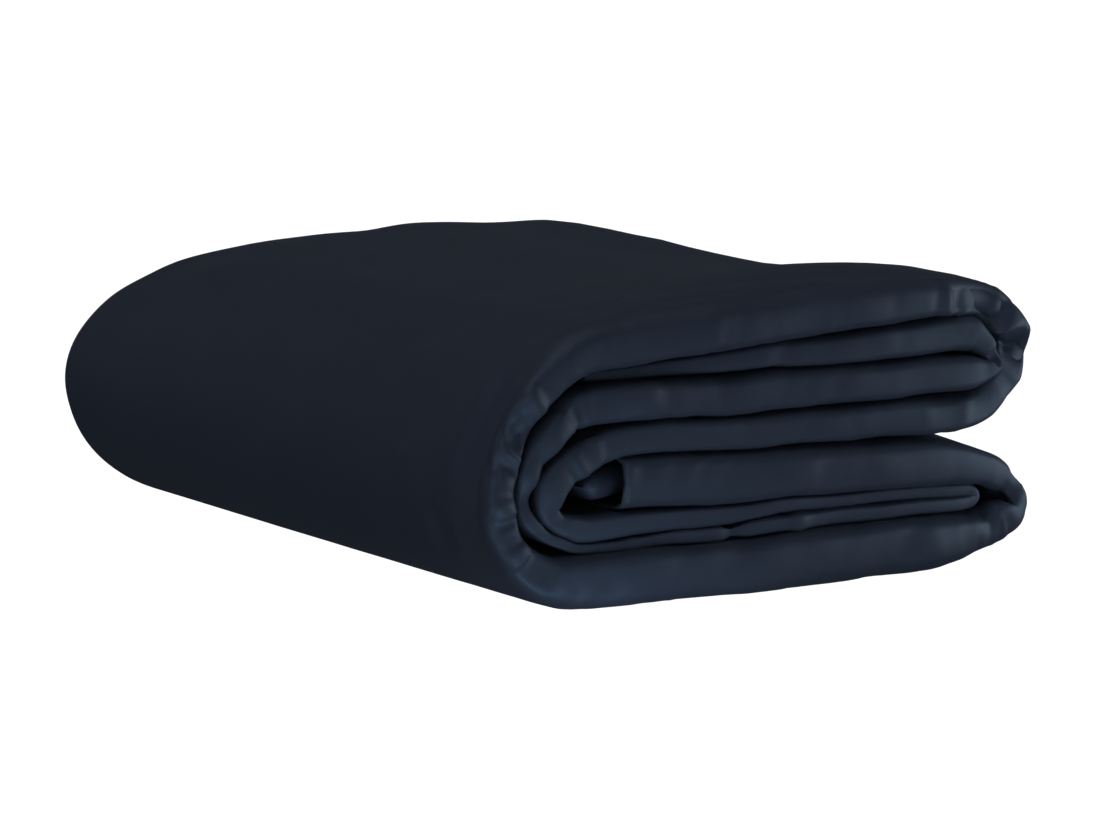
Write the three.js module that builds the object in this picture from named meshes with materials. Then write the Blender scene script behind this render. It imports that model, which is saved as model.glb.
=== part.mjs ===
// A duvet cover folded for the shelf. The cover is folded in four across its width, which makes a long
// strip with a soft folded edge at the near end, and the strip is folded into eight layers, one continuous
// back-and-forth section. The outermost layer runs over the top, round the spine and along the bottom.
// Millimetres, +Z up. X runs from the spine to the two open lobes, Y from the near end to the far end,
// and the origin lies under the middle of the bundle, on the surface that it rests on.
import * as THREE from "three";

const { clamp, lerp, smoothstep } = THREE.MathUtils;

// Driving dimensions of the folded bundle.
const BUNDLE_LENGTH = 350;
const BUNDLE_HEIGHT = 116;
const NEAR_Y = -BUNDLE_LENGTH / 2;
const FAR_Y = BUNDLE_LENGTH / 2;

// How late the section changes from the near one to the far one: 1 is evenly, more is nearer the far end.
const LATE_CHANGE = 1.6;

// How far the tables' X is moved, so that the origin lies midway between the spine and the lobes.
const CENTRE_SHIFT = -1.8;

// The strip's soft long edges: how deep their rounding is, as a multiple of half the thickness there, and how
// full it is, where 1 is a plain half ellipse and less is fuller. Its free ends thin out to a share of it.
const NEAR_ROUNDNESS = 1.2;
const FAR_ROUNDNESS = 0.9;
const EDGE_FULLNESS = 0.52;
const END_TAPER = 0.35;

// The layers, in the order in which the strip runs through them. Each row gives the layer at the near and at
// the far end of the bundle: where it starts and stops (x), the height of its middle line (z), half of its
// thickness (half), and how far its soft edge lies behind the bundle's end (back). Three values are at the
// start, the centre and the stop.
const LAYERS = [
  {
    name: "top of the lower lobe",
    near: { x: [-64, 78], z: [46, 43, 42.2], half: [10.2, 9.6, 9.2], back: [8, 3, 5] },
    far: { x: [-68, 90], z: [43.5, 43, 39], half: [5.6, 5.6, 5.6], back: [4, 0, 2] },
  },
  {
    name: "bottom",
    near: { x: [84, -86], z: [10.8, 10, 10.4], half: [10.6, 10.4, 10.4], back: [5, 0, 3] },
    far: { x: [94, -70], z: [7, 6, 6.2], half: [6, 6.3, 6.3], back: [8, 7, 16] },
  },
  {
    name: "top",
    near: { x: [-56, 88], z: [99.4, 103.1, 103.6], half: [9.2, 9.1, 8.4], back: [6, 4, 6] },
    far: { x: [-32, 110], z: [97.6, 99, 98.6], half: [7, 7.2, 6.6], back: [8, 3, 6] },
  },
  {
    name: "bottom of the upper lobe",
    near: { x: [92, -64], z: [60.6, 60, 61.6], half: [6, 6.1, 6], back: [6, 6, 9] },
    far: { x: [104, -62], z: [58, 56, 56.5], half: [5.6, 5.6, 5.6], back: [4, 2, 2] },
  },
  {
    name: "top of the lower fold",
    near: { x: [-82, 99], z: [30.8, 30, 30.4], half: [5, 2.7, 1.6], back: [9, 9, 13] },
    far: { x: [-62, 84], z: [31, 30.5, 28.6], half: [4.8, 5, 4], back: [8, 3, 2] },
  },
  {
    name: "bottom of the lower fold",
    near: { x: [99, -84], z: [25.4, 23.9, 23.4], half: [1.7, 2.6, 1.7], back: [12, 7, 11] },
    far: { x: [84, -62], z: [18.2, 18.6, 18.6], half: [4.2, 5, 4.8], back: [4, 4, 12] },
  },
  {
    name: "bottom of the upper fold",
    near: { x: [-80, 99], z: [76, 74.6, 75.6], half: [7.2, 7.3, 5], back: [9, 7, 7] },
    far: { x: [-66, 90], z: [70, 69.5, 70], half: [5.6, 5.8, 5.4], back: [4, 1, 3] },
  },
  {
    name: "top of the upper fold",
    near: { x: [99, -76], z: [88.8, 88, 86.8], half: [5.4, 4.8, 1.4], back: [8, 9, 18] },
    far: { x: [88, -52], z: [83.6, 83.2, 83.4], half: [5.6, 5.8, 4.6], back: [3, 2, 4] },
  },
];

// The turns between one layer and the next, at the near and at the far end: the furthest point of the strip's
// middle line (tip, as x and z), half its thickness (half), how far its soft edge lies back, and the sharpness:
// 1 is an ellipse, more is pointed and less is square. Two values are on the sides of the layer before and of
// the layer after. Steps set its control points.
const TURNS = [
  {
    name: "lower lobe", steps: 8,
    near: { tip: [124.4, 22.2], half: [5, 5], back: 13, sharpness: [1, 0.9] },
    far: { tip: [121, 22.5], half: [4.8, 4.8], back: 6, sharpness: [1, 1] },
  },
  {
    name: "spine", steps: 10,
    near: { tip: [-118.2, 44], half: [6.2, 7], back: 7, sharpness: [0.95, 0.9] },
    far: { tip: [-119.5, 52], half: [6.4, 6.4], back: 0, sharpness: [1.05, 1.05] },
  },
  {
    name: "upper lobe", steps: 8,
    near: { tip: [122, 86], half: [7.2, 7.4], back: 13, sharpness: [1.05, 1.1] },
    far: { tip: [123, 80], half: [6, 6], back: 6, sharpness: [0.9, 0.9] },
  },
  {
    name: "inner bend", steps: 6,
    near: { tip: [-96.8, 40], half: [5.6, 2.7], back: 8, sharpness: [1.9, 1.8] },
    far: { tip: [-82, 44], half: [4.6, 4.6], back: 8, sharpness: [1, 1] },
  },
  {
    name: "lower fold", steps: 6,
    near: { tip: [102, 28], half: [1.5, 1.5], back: 14, sharpness: [1, 1] },
    far: { tip: [90, 23.5], half: [3.2, 3.2], back: 3, sharpness: [1, 1] },
  },
  {
    name: "middle bend", steps: 6,
    near: { tip: [-107.8, 40.6], half: [2, 3.7], back: 9, sharpness: [2.2, 1.5] },
    far: { tip: [-101, 44], half: [5.2, 5.2], back: 6, sharpness: [1, 1] },
  },
  {
    name: "upper fold", steps: 6,
    near: { tip: [108.2, 82.4], half: [3.6, 3.8], back: 9, sharpness: [0.95, 0.95] },
    far: { tip: [98, 77], half: [3.8, 3.8], back: 3, sharpness: [1, 1] },
  },
];

// Soft swells and hollows of the bundle: where each lies, how much it lifts the top, and its reach.
const SWELLS = [
  { name: "crown behind the near edge", x: 40, y: -125, lift: 6, reachX: 90, reachY: 50 },
  { name: "dip along the lobe", x: 108, y: -5, lift: -5, reachX: 55, reachY: 80 },
];

// Points of each layer, samples of the fold line between two points, and rows of the strip along the bundle.
const LAYER_POINTS = 5;
const SAMPLES = 2;
const LENGTH_ROWS = [0.1, 0.22, 0.36, 0.52, 0.68, 0.84];
const NEAR_EDGE_STEPS = 3;
const FAR_EDGE_STEPS = 2;

// The strip's free ends are rounded in a few sections, within a share of the first and of the last span.
const END_STEPS = 3;
const END_SPAN = 0.3;

// The value at a share of the way through three values: at the start, at the centre and at the stop.
function alongThree([start, centre, stop], share) {
  const before = lerp(start, centre, share * 2);
  const after = lerp(centre, stop, share * 2 - 1);
  return lerp(before, after, smoothstep(share, 0, 1));
}

// The control points of a layer at one end of the bundle: place, half thickness and setback.
function layerPoints(layer) {
  const points = [];
  for (let i = 0; i < LAYER_POINTS; i += 1) {
    const along = i / (LAYER_POINTS - 1);
    points.push({
      x: lerp(layer.x[0], layer.x[1], along),
      z: alongThree(layer.z, along),
      half: alongThree(layer.half, along),
      back: alongThree(layer.back, along),
    });
  }
  return points;
}

// The control points of a turn at one end of the bundle: two quarter ellipses that meet at its tip.
function turnPoints(turn, steps, from, to) {
  const [tipX, tipZ] = turn.tip;
  const points = [];
  for (let i = 1; i < steps; i += 1) {
    const angle = Math.PI * (i / steps);
    const across = (1 - Math.cos(angle)) / 2;
    const [rim, sharpness] = across < 0.5 ? [from, turn.sharpness[0]] : [to, turn.sharpness[1]];
    const out = Math.sin(angle) ** sharpness;
    const turnHalf = lerp(turn.half[0], turn.half[1], smoothstep(across, 0, 1));
    points.push({
      x: lerp(rim.x, tipX, out),
      z: lerp(tipZ, rim.z, Math.abs(Math.cos(angle))),
      half: lerp(lerp(from.half, to.half, across), turnHalf, out),
      back: lerp(lerp(from.back, to.back, across), turn.back, out),
    });
  }
  return points;
}

// The strip's middle line in the XZ plane at one end of the bundle, with its half thickness and setback.
function foldLine(end) {
  const layers = LAYERS.map((layer) => layerPoints(layer[end]));
  const points = [...layers[0]];
  TURNS.forEach((turn, i) => {
    const next = layers[i + 1];
    points.push(...turnPoints(turn[end], turn.steps, points[points.length - 1], next[0]), ...next);
  });
  const place = new THREE.CatmullRomCurve3(
    points.map((p) => new THREE.Vector3(p.x + CENTRE_SHIFT, 0, p.z)), false, "centripetal",
  );
  const sizes = new THREE.CatmullRomCurve3(
    points.map((p) => new THREE.Vector3(p.half, p.back, 0)), false, "catmullrom",
  );
  return { place, sizes, spans: points.length - 1 };
}

// One soft edge of the strip, from its middle line to its full thickness: shares of its depth and thickness.
function edgeRows(edge, steps) {
  const rows = [];
  for (let i = 0; i <= steps; i += 1) {
    const angle = (Math.PI / 2) * (i / steps);
    rows.push({ edge, depth: 1 - Math.cos(angle), side: Math.sin(angle) ** EDGE_FULLNESS });
  }
  return rows;
}

// A section of the strip: from the near edge over the upper side to the far edge, and back under it.
function sectionRows() {
  const between = LENGTH_ROWS.map((share) => ({ edge: "between", depth: share, side: 1 }));
  const nearEdge = edgeRows("near", NEAR_EDGE_STEPS);
  const farEdge = edgeRows("far", FAR_EDGE_STEPS).reverse();
  const upper = [...nearEdge, ...between, ...farEdge];
  const under = upper.slice(1, -1).reverse().map((row) => ({ ...row, side: -row.side }));
  return [...upper, ...under];
}

// The point with the swells' lift, in proportion to its height, so that the layers stay in order. The
// underside is flat on the surface.
function lifted(point) {
  let factor = 1;
  SWELLS.forEach((swell) => {
    const dx = (point.x - swell.x) / swell.reachX;
    const dy = (point.y - swell.y) / swell.reachY;
    factor += (swell.lift / BUNDLE_HEIGHT) * Math.exp(-dx * dx - dy * dy);
  });
  return new THREE.Vector3(point.x, point.y, Math.max(0, point.z * factor));
}

// The place of a row of the section at a share of the fold line.
function rowPoint(row, at, lines, taper) {
  const [nearSizes, farSizes] = [lines.near.sizes.getPoint(at), lines.far.sizes.getPoint(at)];
  const near = NEAR_Y + nearSizes.y;
  const far = FAR_Y - farSizes.y;
  const nearDepth = NEAR_ROUNDNESS * nearSizes.x;
  const farDepth = FAR_ROUNDNESS * farSizes.x;
  const y = {
    near: near + row.depth * nearDepth,
    far: far - row.depth * farDepth,
    between: lerp(near + nearDepth, far - farDepth, row.depth),
  }[row.edge];
  const share = clamp((y - NEAR_Y) / BUNDLE_LENGTH, 0, 1) ** LATE_CHANGE;
  const place = lines.near.place.getPoint(at).lerp(lines.far.place.getPoint(at), share);
  const heading = lines.near.place.getTangent(at).lerp(lines.far.place.getTangent(at), share).normalize();
  const half = lerp(nearSizes.x, farSizes.x, share) * taper * row.side;
  return lifted(new THREE.Vector3(place.x - heading.z * half, y, place.z + heading.x * half));
}

// The sections of the strip: each one's share of the fold line, and the share of the thickness it keeps.
function sectionPlaces(spans) {
  const start = [];
  for (let i = 0; i <= END_STEPS; i += 1) {
    const angle = (Math.PI / 2) * (i / END_STEPS);
    const taper = Math.max(END_TAPER, Math.sin(angle));
    start.push({ at: (END_SPAN / spans) * (1 - Math.cos(angle)), taper });
  }
  const middle = [];
  for (let i = 1; i < spans * SAMPLES; i += 1) middle.push({ at: i / (spans * SAMPLES), taper: 1 });
  const stop = start.map(({ at, taper }) => ({ at: 1 - at, taper })).reverse();
  return [...start, ...middle, ...stop];
}

// The whole strip as one closed surface: sections joined along the fold line, and both its ends closed.
function stripGeometry() {
  const lines = { near: foldLine("near"), far: foldLine("far") };
  const rows = sectionRows();
  const places = sectionPlaces(lines.near.spans);
  const positions = [];
  places.forEach(({ at, taper }) => {
    rows.forEach((row) => positions.push(...rowPoint(row, at, lines, taper).toArray()));
  });
  const count = rows.length;
  const index = [];
  for (let i = 0; i < places.length - 1; i += 1) {
    for (let j = 0; j < count; j += 1) {
      const a = i * count + j;
      const b = i * count + ((j + 1) % count);
      index.push(a, a + count, b, b, a + count, b + count);
    }
  }
  const last = (places.length - 1) * count;
  for (let j = 0; j < count / 2; j += 1) {
    const [upper, under] = [j, (count - j) % count];
    const [upperNext, underNext] = [j + 1, count - j - 1];
    if (j > 0) {
      index.push(upper, upperNext, under, last + upper, last + under, last + upperNext);
    }
    if (upperNext !== underNext) {
      index.push(upperNext, underNext, under, last + upperNext, last + under, last + underNext);
    }
  }
  const geometry = new THREE.BufferGeometry();
  geometry.setAttribute("position", new THREE.Float32BufferAttribute(positions, 3));
  geometry.setIndex(index);
  geometry.computeVertexNormals();
  return geometry;
}

const navySateen = new THREE.MeshStandardMaterial({ color: 0x1c2430, roughness: 0.75, metalness: 0 });

const cover = new THREE.Mesh(stripGeometry(), navySateen);
cover.name = "duvet_cover";

const bundle = new THREE.Group();
bundle.name = "folded_duvet_cover";
bundle.add(cover);

export default bundle;
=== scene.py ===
"""The looks of a folded duvet cover, built as one thin sheet of cloth on the folds of its solid.

The cover is folded in four across its width into a long strip, and the strip is folded into eight layers.
Sizes and places are in millimetres in the solid's own frame, and become metres when the mesh is made.
"""
import logging
from dataclasses import dataclass
from enum import Enum

import bmesh
import bpy
import numpy as np
from mathutils import Matrix, Vector


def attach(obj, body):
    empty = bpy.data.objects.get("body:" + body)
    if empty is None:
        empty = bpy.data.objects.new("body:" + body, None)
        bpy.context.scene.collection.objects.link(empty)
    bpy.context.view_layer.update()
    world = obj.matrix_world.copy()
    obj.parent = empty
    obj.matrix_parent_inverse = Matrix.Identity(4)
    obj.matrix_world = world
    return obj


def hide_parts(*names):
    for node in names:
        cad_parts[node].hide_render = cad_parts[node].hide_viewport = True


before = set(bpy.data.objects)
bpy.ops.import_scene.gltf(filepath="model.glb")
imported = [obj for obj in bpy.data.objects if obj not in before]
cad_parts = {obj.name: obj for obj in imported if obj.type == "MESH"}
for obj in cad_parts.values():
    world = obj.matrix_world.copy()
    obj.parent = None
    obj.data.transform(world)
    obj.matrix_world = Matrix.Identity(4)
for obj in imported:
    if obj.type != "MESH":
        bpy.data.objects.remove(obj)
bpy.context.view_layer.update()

LOG = logging.getLogger("folded_duvet_cover")
MM = 0.001

Pair = tuple[float, float]
Triple = tuple[float, float, float]


class End(Enum):
    """The two ends of the bundle."""

    NEAR = "near"
    FAR = "far"


class Ply(Enum):
    """The stretches of the sheet across the strip, in the order in which it runs through them."""

    LOWER_OUTER = "lower outer"
    NEAR_FOLD = "near fold"
    UPPER_OUTER = "upper outer"
    FAR_FOLD = "far fold"
    UPPER_INNER = "upper inner"
    INNER_FOLD = "inner fold"
    LOWER_INNER = "lower inner"


class Face(Enum):
    """The two faces of the sheet: the one outside the packet that it makes, and the one inside."""

    OUT = "out"
    IN = "in"


class Flanks(Enum):
    """How a crease falls away from its line: in a soft curve, or flat as in crumpled cloth."""

    SOFT = "soft"
    FLAT = "flat"


@dataclass(frozen=True)
class LayerEnd:
    """A layer at one end of the bundle: three values are at its start, at its centre and at its stop."""

    x: Pair
    z: Triple
    half: Triple
    back: Triple


@dataclass(frozen=True)
class Layer:
    """A layer of the fold, with the number of sections between two of its points."""

    name: str
    sections: int
    near: LayerEnd
    far: LayerEnd


@dataclass(frozen=True)
class TurnEnd:
    """A turn at one end of the bundle.

    The tip is its furthest point, as x and z. Pairs are on the side of the layer before and of the layer
    after. A sharpness of 1 is an ellipse, over 1 is pointed and under 1 is square.
    """

    tip: Pair
    half: Pair
    back: float
    sharpness: Pair


@dataclass(frozen=True)
class Turn:
    """The turn from one layer into the next, with its steps and the number of sections in each."""

    name: str
    steps: int
    sections: int
    near: TurnEnd
    far: TurnEnd


@dataclass(frozen=True)
class Swell:
    """A soft swell or hollow of the whole bundle: its place, how much it lifts the top, and its reach."""

    x: float
    y: float
    lift: float
    reach_x: float
    reach_y: float


@dataclass(frozen=True)
class Crease:
    """A soft ridge or trough of the cloth, along a line of points.

    Each point is a place on the strip: a share of the way along the named layer or turn, and millimetres
    across from the tip of the near fold, positive on the upper side. A height over 0 is a ridge, and under
    0 a trough.
    """

    on: str
    width: float
    height: float
    points: tuple[Pair, ...]


@dataclass(frozen=True)
class Wrinkles:
    """A scatter of small creases on a layer or turn.

    Ranges give how far across from the tip of the near fold they lie, their length, width and height. The
    turn is how many degrees they may stray from running straight across the strip.
    """

    on: str
    count: int
    across: Pair
    length: Pair
    turn_deg: float
    width: Pair
    height: Pair


@dataclass(frozen=True)
class Facets:
    """A crumpled patch of flat, three-cornered facets on a layer or turn.

    The place is a share of the way along it and millimetres across from the tip of the near fold, and the
    reach is along and across from there. The size is a facet's side, and the height is how far its corners
    stand out or in.
    """

    on: str
    place: Pair
    reach: Pair
    size: float
    height: float
    seed: int


@dataclass(frozen=True)
class Unevenness:
    """The slow, uneven sway of the whole bundle, strongest at its ends."""

    seed: int = 11
    waves: int = 24
    wavelength: Pair = (20.0, 70.0)
    slope: float = 0.018
    reach: float = 45.0
    rest: float = 0.25
    settled: float = 25.0


@dataclass(frozen=True)
class Ripple:
    """The fine, uneven ripple of every layer by the near fold, with sharp crests mostly across the strip."""

    seed: int = 3
    waves: int = 16
    wavelength: Pair = (10.0, 45.0)
    stray_deg: float = 75.0
    phase_step: int = 97
    height: float = 0.22
    crest_level: float = 0.5
    crest_softness: float = 0.2
    reach: float = 28.0
    patches: Pair = (80.0, 45.0)
    patch_phase: float = 1.0
    calm: float = 0.25
    wander: float = 0.2
    wander_length: Pair = (30.0, 110.0)
    puff: float = 0.5
    puff_reach: float = 60.0


LAYERS = [
    Layer("top of the lower lobe", 15,
          LayerEnd((-64, 78), (46, 43, 42.2), (10.2, 9.6, 9.2), (8, 3, 5)),
          LayerEnd((-68, 90), (43.5, 43, 39), (5.6, 5.6, 5.6), (4, 0, 2))),
    Layer("bottom", 18,
          LayerEnd((84, -86), (10.8, 10, 10.4), (10.6, 10.4, 10.4), (5, 0, 3)),
          LayerEnd((94, -70), (7, 6, 6.2), (6, 6.3, 6.3), (8, 7, 16))),
    Layer("top", 20,
          LayerEnd((-56, 88), (99.4, 103.1, 105.3), (9.2, 9.1, 6.7), (6, 4, 6)),
          LayerEnd((-32, 110), (97.6, 99, 98.6), (7, 7.2, 6.6), (8, 3, 6))),
    Layer("bottom of the upper lobe", 15,
          LayerEnd((92, -64), (61, 60, 61.8), (6.9, 6.1, 6.2), (6, 6, 9)),
          LayerEnd((104, -62), (58, 56, 56.5), (5.6, 5.6, 5.6), (4, 2, 2))),
    Layer("top of the lower fold", 12,
          LayerEnd((-82, 99), (30.8, 30, 30.4), (5, 2.7, 2.5), (9, 9, 13)),
          LayerEnd((-62, 84), (31, 30.5, 28.6), (4.8, 5, 4), (8, 3, 2))),
    Layer("bottom of the lower fold", 12,
          LayerEnd((99, -84), (25.4, 23.9, 23.4), (2.5, 2.6, 1.7), (12, 7, 11)),
          LayerEnd((84, -62), (18.2, 18.6, 18.6), (4.2, 5, 4.8), (4, 4, 12))),
    Layer("bottom of the upper fold", 17,
          LayerEnd((-80, 99), (76, 74.6, 75.8), (7.2, 7.3, 6.3), (9, 7, 7)),
          LayerEnd((-66, 90), (70, 69.5, 70), (5.6, 5.8, 5.4), (4, 1, 3))),
    Layer("top of the upper fold", 15,
          LayerEnd((99, -76), (90.4, 88, 86.8), (7, 4.8, 1.4), (8, 9, 18)),
          LayerEnd((88, -52), (83.6, 83.2, 83.4), (5.6, 5.8, 4.6), (3, 2, 4))),
]

TURNS = [
    Turn("lower lobe", 8, 9,
         TurnEnd((124.4, 22.2), (5, 5), 13, (1, 0.9)),
         TurnEnd((121, 22.5), (4.8, 4.8), 6, (1, 1))),
    Turn("spine", 10, 11,
         TurnEnd((-118.2, 44), (6.2, 7), 7, (0.95, 0.9)),
         TurnEnd((-119.5, 52), (6.4, 6.4), 0, (1.05, 1.05))),
    Turn("upper lobe", 8, 9,
         TurnEnd((122, 86), (7.2, 7.4), 13, (1.05, 1.1)),
         TurnEnd((123, 80), (6, 6), 6, (0.9, 0.9))),
    Turn("inner bend", 6, 7,
         TurnEnd((-96.8, 40), (7, 2.7), 8, (1.15, 1.8)),
         TurnEnd((-82, 44), (4.6, 4.6), 8, (1, 1))),
    Turn("lower fold", 6, 4,
         TurnEnd((103, 27.4), (2.5, 2.5), 15, (1.2, 1.2)),
         TurnEnd((90, 23.5), (3.2, 3.2), 3, (1, 1))),
    Turn("middle bend", 6, 7,
         TurnEnd((-107.8, 40.6), (2, 3.7), 9, (2.2, 1.5)),
         TurnEnd((-101, 44), (5.2, 5.2), 6, (1, 1))),
    Turn("upper fold", 6, 5,
         TurnEnd((110.6, 77.6), (2.8, 3.4), 10, (0.85, 1.7)),
         TurnEnd((98, 77), (3.8, 3.8), 3, (1, 1))),
]

SWELLS = [
    Swell(x=40, y=-125, lift=6, reach_x=90, reach_y=50),
    Swell(x=108, y=-5, lift=-5, reach_x=55, reach_y=80),
]

CREASES = [
    # Behind the spine's rim.
    Crease("spine", 6, -3.2, ((0.86, 14.9), (0.74, 11.1), (0.63, 11.9), (0.50, 13.3), (0.32, 11.9))),
    Crease("spine", 5, -1.5, ((0.83, 72.9), (0.71, 60.7), (0.59, 53.9))),
    Crease("spine", 3.5, -1.3, ((0.83, 26.6), (0.71, 20.7), (0.61, 22.8), (0.49, 22.3))),
    Crease("spine", 3.5, 1.1, ((0.80, 32.2), (0.69, 29.9), (0.59, 32.0), (0.47, 32.9))),
    Crease("spine", 4, 1.2, ((0.92, 112.5), (0.77, 90.2), (0.65, 84.3))),
    Crease("spine", 4, -0.9, ((0.90, 117.1), (0.78, 100.1), (0.68, 97.5))),
    Crease("spine", 4, 0.8, ((0.84, 108.5), (0.75, 101.8), (0.67, 99.7))),
    Crease("spine", 4, 1.2, ((0.58, 68.0), (0.53, 59.7))),
    Crease("spine", 4, -0.9, ((0.65, 69.7), (0.60, 70.2), (0.56, 70.2))),
    Crease("spine", 3.5, 1.1, ((0.50, 38.5), (0.40, 36.4))),
    Crease("spine", 3.5, -1, ((0.54, 46.7), (0.41, 42.5), (0.24, 48.8))),
    Crease("spine", 3.5, 0.9, ((0.55, 31.1), (0.44, 28.8), (0.27, 33.9))),
    Crease("spine", 6, -1.2, ((0.79, 126.3), (0.66, 116.4), (0.55, 115.2))),
    Crease("spine", 14, 2, ((0.95, 302.8), (0.81, 288.3), (0.69, 289.5))),
    # The open mouth of the lower lobe's top.
    Crease("top of the lower lobe", 3.7, 1.23, ((0.03, 10.7), (0.01, 0.3), (0.01, -9.4))),
    Crease("top of the lower lobe", 3, -0.62, ((0.06, 8.5), (0.08, -1.5))),
    Crease("top of the lower lobe", 3.7, 0.51, ((0.09, 4.8), (0.11, -1.7))),
    Crease("top of the lower lobe", 4.5, -0.51, ((0.15, 8.3), (0.16, -3.6))),
    # The top band.
    Crease("top", 16, -0.6, ((0.40, 15.2), (0.41, -2.5))),
    Crease("top", 16, 0.4, ((0.15, 7.9), (0.28, 2.8))),
    Crease("top", 14, -0.4, ((0.51, 5.0), (0.55, -6.1))),
    Crease("top", 14, -0.35, ((0.65, 6.7), (0.61, -6.3))),
    Crease("top", 14, 0.3, ((0.72, 4.7), (0.70, -7.3))),
    Crease("top", 2.5, -0.46, ((0.16, 44.5), (0.30, 37.4), (0.45, 32.0), (0.61, 26.3))),
    Crease("spine", 6, 0.82, ((0.80, 16.3), (0.96, 16.4), (1.12, 42.0))),
    Crease("spine", 6, -0.62, ((1.03, 11.8), (0.86, 3.7))),
    # The layers between.
    Crease("bottom of the upper fold", 3.2, -0.6, ((0.29, 4.8), (0.37, -6.1))),
    Crease("bottom of the upper lobe", 3.2, -0.5, ((0.68, -6.7), (0.64, 4.9))),
    Crease("top of the lower lobe", 3.6, -0.6, ((0.40, 11.1), (0.44, -0.7))),
    Crease("bottom of the upper fold", 11, 0.4, ((0.25, 2.4), (0.21, -2.3))),
    Crease("bottom of the upper fold", 10, -0.4, ((0.14, 6.7), (0.19, -1.1))),
    Crease("bottom of the upper fold", 8, -0.5, ((0.60, 2.0), (0.64, -5.2))),
    Crease("bottom of the upper lobe", 8, -0.4, ((0.50, -0.3), (0.48, 4.0))),
    Crease("bottom of the upper lobe", 11, -0.35, ((0.31, 0.1), (0.33, 3.9))),
    Crease("top of the lower lobe", 8, -0.6, ((0.22, 3.9), (0.25, -2.2))),
    Crease("top of the lower lobe", 10, -0.7, ((0.60, 4.5), (0.65, -7.7))),
    Crease("top of the lower lobe", 10, 0.7, ((0.83, 8.5), (0.79, -6.5))),
    Crease("top of the upper fold", 7, -0.5, ((0.53, -3.3), (0.49, 4.5))),
    Crease("top of the upper fold", 10, 0.35, ((0.34, -0.5), (0.35, 4.9))),
    Crease("bottom of the lower fold", 14, -1.8, ((0.65, -0.3), (0.59, -0.1))),
    Crease("bottom of the lower fold", 14, 1.2, ((0.48, 0.0), (0.43, 0.1))),
    Crease("bottom of the lower fold", 14, 1, ((0.88, -2.3), (0.84, -1.8))),
    # The bottom band.
    Crease("bottom", 5, 1.1, ((1.47, -0.3), (0.90, -7.4), (0.71, -9.9))),
    Crease("bottom", 9, -1.2, ((0.59, -14.1), (0.55, -0.5))),
    Crease("bottom", 9, 0.8, ((0.70, -8.4), (0.65, 3.9))),
    Crease("bottom", 10, -0.8, ((0.44, -11.6), (0.41, 7.7))),
    Crease("bottom", 10, 0.8, ((0.29, -4.6), (0.22, 13.5))),
    Crease("bottom", 9, -0.8, ((0.15, -3.2), (0.11, 4.9))),
    Crease("bottom", 9, -0.7, ((0.95, -6.2), (0.89, 4.4))),
    Crease("bottom", 9, 0.7, ((0.80, -10.7), (0.77, 8.3))),
]

CRUMPLES = [
    # Across the rim.
    Crease("spine", 6, 1.8, ((0.78, 5.8), (0.67, 5.6), (0.56, 6.8), (0.42, 3.0), (0.22, 1.8))),
    Crease("spine", 6, -2.6, ((0.64, 9.5), (0.64, 1.4), (0.65, -3.7))),
    Crease("spine", 6, -2.6, ((0.55, 11.0), (0.57, 3.1), (0.59, -1.2))),
    Crease("spine", 5, 1.6, ((0.55, 2.5), (0.56, -1.0))),
    Crease("spine", 6, -2.4, ((0.65, 1.7), (0.67, -0.5), (0.70, -3.2))),
    Crease("spine", 5, 1.4, ((0.51, 1.0), (0.44, -0.1))),
    Crease("spine", 6, 1.6, ((0.34, 0.5), (0.26, 1.7))),
    Crease("spine", 6, -2.6, ((0.28, -2.5), (0.19, -1.7), (0.11, -0.6))),
    Crease("spine", 7, 1.8, ((0.71, 3.3), (0.75, 0.9))),
    Crease("spine", 6, 1.6, ((0.60, 1.9), (0.62, -1.0))),
    Crease("spine", 6, -1.8, ((0.47, 4.0), (0.40, -0.1))),
    # The middle bend.
    Crease("middle bend", 6, 1.8, ((0.93, 0.9), (0.73, -0.2), (0.58, -0.4))),
    Crease("bottom of the upper fold", 7, 1.2, ((0.09, 1.6), (0.15, 0.8), (0.20, 0.1))),
    Crease("inner bend", 6, -1.6, ((0.20, -13.8), (0.14, -9.5), (0.06, -9.4))),
    Crease("middle bend", 7, -1.4, ((0.99, 1.2), (0.85, -0.4))),
    Crease("inner bend", 5, 1.4, ((0.35, -7.3), (0.43, -7.6))),
    Crease("bottom of the upper fold", 7, 1.1, ((0.14, 5.9), (0.17, -0.3))),
    # The inner bend.
    Crease("inner bend", 6, 2.2, ((0.28, -0.5), (0.38, -1.4), (0.47, -6.9))),
    Crease("inner bend", 7, 1.2, ((0.10, -0.2), (0.28, 1.0))),
    Crease("inner bend", 6, -1.3, ((0.15, -3.8), (0.23, -0.1))),
    # The upper lobe.
    Crease("top", 7, 2.2, ((1.01, -0.8), (0.99, -1.9), (0.99, -5.9))),
    Crease("upper lobe", 7, -2.2, ((-0.01, -0.4), (0.05, 0.4), (0.15, 0.5), (0.24, 0.2))),
    Crease("upper lobe", 7, -3.6, ((0.53, -5.7), (0.51, -0.8), (0.50, 2.9))),
    Crease("upper fold", 6, -2.4, ((0.65, 1.2), (0.57, 0.3), (0.51, -0.9))),
    Crease("upper lobe", 7, -1.6, ((1.06, -2.4), (0.98, -5.8), (0.76, -1.4))),
    Crease("top", 13, -0.7, ((0.81, 5.6), (0.78, -6.7))),
    # The lower lobe.
    Crease("lower lobe", 6, -3, ((0.60, -14.5), (0.40, -2.9), (0.44, 1.6))),
    Crease("lower lobe", 9, 2.4, ((0.85, -13.7), (0.73, -4.9), (0.54, 2.2))),
    Crease("lower lobe", 6, -1.6, ((0.82, -10.6), (0.80, -2.1), (0.74, 0.2))),
    Crease("lower lobe", 6, 1.4, ((0.87, -18.3), (0.86, -16.5), (0.79, -19.8))),
]

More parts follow.
